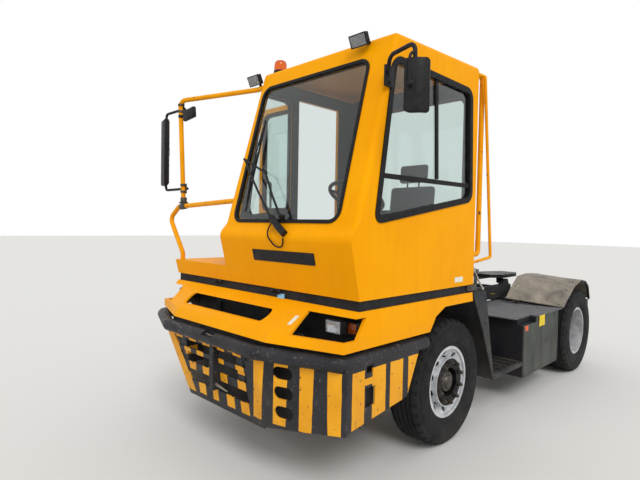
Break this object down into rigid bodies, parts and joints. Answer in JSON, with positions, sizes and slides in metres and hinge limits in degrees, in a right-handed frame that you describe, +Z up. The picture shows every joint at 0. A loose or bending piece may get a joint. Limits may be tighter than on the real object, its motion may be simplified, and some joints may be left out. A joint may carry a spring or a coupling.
{
  "type": "terminal tractor",
  "caption": "Yard tractor for moving semi-trailers: offset tilting cab, side deck, tow bumper, steered front axle, twin rear wheels and a lifting fifth wheel.",
  "frame": {"origin": "on the ground, under the centre of the vehicle's box", "axes": "+X to the vehicle's left, -Y forwards, +Z up"},
  "size_m": [3.24, 5.6, 3.2666],
  "materials": {
    "body_yellow": "gloss",
    "bumper_steel": "scuffed satin",
    "frame_black": "satin, dusty",
    "panel_dark": "satin",
    "band_rubber": "matte",
    "lamp_lens": "clear",
    "core_dark": "matte",
    "engine_grey": "oily",
    "bare_steel": "worn, rust patches",
    "window_glass": "clear",
    "trim_black": "matte",
    "seat_fabric": "woven",
    "amber_lens": "gloss",
    "tyre_rubber": "matte",
    "rim_silver": "satin",
    "greasy_iron": "greasy",
    "rod_chrome": "polished"
  },
  "bodies": {
    "chassis": {"chassis_frame": "frame_black", "front_bumper": "bumper_steel", "lower_hood": "body_yellow", "body_band": "band_rubber", "road_lamps": "lamp_lens", "front_liners": "panel_dark", "radiator": "core_dark", "engine_block": "engine_grey", "driveline": "engine_grey", "front_axle": "frame_black", "front_springs": "frame_black", "rear_axle": "frame_black", "splash_plates": "panel_dark", "side_steps": "panel_dark", "side_box_left": "panel_dark", "fuel_tank_right": "panel_dark", "rear_mudguards": "bare_steel", "exhaust": "bare_steel", "rear_crossbar": "frame_black"},
    "cab": {"cab_floor": "body_yellow", "cab_front": "body_yellow", "cab_left_wall": "body_yellow", "cab_right_wall": "body_yellow", "cab_rear_wall": "body_yellow", "cab_roof": "body_yellow", "windscreen": "window_glass", "cab_glass": "window_glass", "side_deck": "body_yellow", "handrails": "body_yellow", "grab_rails": "body_yellow", "mirrors": "trim_black", "driver_seat": "seat_fabric", "dashboard": "trim_black", "steering_wheel": "trim_black", "work_lamps": "trim_black", "beacon": "amber_lens"},
    "right_door": {"right_door": "body_yellow", "right_door_glass": "window_glass"},
    "knuckle_left": {"knuckle_left": "frame_black"},
    "knuckle_right": {"knuckle_right": "frame_black"},
    "tie_rod": {"tie_rod": "frame_black"},
    "wheel_front_left": {"tyre_front_left": "tyre_rubber", "rim_front_left": "rim_silver"},
    "wheel_front_right": {"tyre_front_right": "tyre_rubber", "rim_front_right": "rim_silver"},
    "wheel_rear_left": {"tyres_rear_left": "tyre_rubber", "rims_rear_left": "rim_silver"},
    "wheel_rear_right": {"tyres_rear_right": "tyre_rubber", "rims_rear_right": "rim_silver"},
    "lift_boom": {"lift_boom": "frame_black"},
    "fifth_wheel": {"fifth_wheel": "greasy_iron"},
    "lift_barrels": {"lift_barrels": "frame_black"},
    "lift_rods": {"lift_rods": "rod_chrome"}
  },
  "joints": [
    {"name": "cab_tilt", "type": "hinge", "parent": "chassis", "child": "cab", "pos_m": [0, -2.395, 1.317], "axis": [1, 0, 0], "range_deg": [0, 55]},
    {"name": "right_door_swing", "type": "hinge", "parent": "cab", "child": "right_door", "pos_m": [-0.247, -1.663, 2], "axis": [0, 0, 1], "range_deg": [-90, 0]},
    {"name": "steer_left", "type": "hinge", "parent": "chassis", "child": "knuckle_left", "pos_m": [0.87, -1.133, 0.522], "axis": [0, 0, 1], "range_deg": [-38, 38]},
    {"name": "steer_right", "type": "hinge", "parent": "chassis", "child": "knuckle_right", "pos_m": [-0.87, -1.133, 0.522], "axis": [0, 0, 1], "range_deg": [-38, 38]},
    {"name": "tie_rod_turn", "type": "hinge", "parent": "knuckle_left", "child": "tie_rod", "pos_m": [0.87, -0.953, 0.405], "axis": [0, 0, 1], "range_deg": [-38, 38]},
    {"name": "roll_front_left", "type": "hinge", "parent": "knuckle_left", "child": "wheel_front_left", "pos_m": [1.028, -1.133, 0.522], "axis": [1, 0, 0], "continuous": true},
    {"name": "roll_front_right", "type": "hinge", "parent": "knuckle_right", "child": "wheel_front_right", "pos_m": [-1.028, -1.133, 0.522], "axis": [1, 0, 0], "continuous": true},
    {"name": "roll_rear_left", "type": "hinge", "parent": "chassis", "child": "wheel_rear_left", "pos_m": [1.0975, 1.975, 0.522], "axis": [1, 0, 0], "continuous": true},
    {"name": "roll_rear_right", "type": "hinge", "parent": "chassis", "child": "wheel_rear_right", "pos_m": [-1.0975, 1.975, 0.522], "axis": [1, 0, 0], "continuous": true},
    {"name": "boom_lift", "type": "hinge", "parent": "chassis", "child": "lift_boom", "pos_m": [0, 0.367, 0.985], "axis": [1, 0, 0], "range_deg": [0, 18]},
    {"name": "coupling_pitch", "type": "hinge", "parent": "lift_boom", "child": "fifth_wheel", "pos_m": [0, 1.667, 1.112], "axis": [1, 0, 0], "range_deg": [-10, 10]},
    {"name": "barrel_turn", "type": "hinge", "parent": "chassis", "child": "lift_barrels", "pos_m": [0, 0.772, 0.6], "axis": [1, 0, 0], "range_deg": [0, 19]},
    {"name": "rod_slide", "type": "slide", "parent": "lift_barrels", "child": "lift_rods", "axis": [0, 0.8117, 0.5841], "range_m": [0, 0.18]}
  ],
  "couplings": [
    {"joint": "steer_right", "follows": "steer_left", "ratio": 1},
    {"joint": "tie_rod_turn", "follows": "steer_left", "ratio": -1},
    {"joint": "barrel_turn", "follows": "boom_lift", "ratio": 1.04},
    {"joint": "rod_slide", "follows": "boom_lift", "m_per_rad": 0.555}
  ]
}
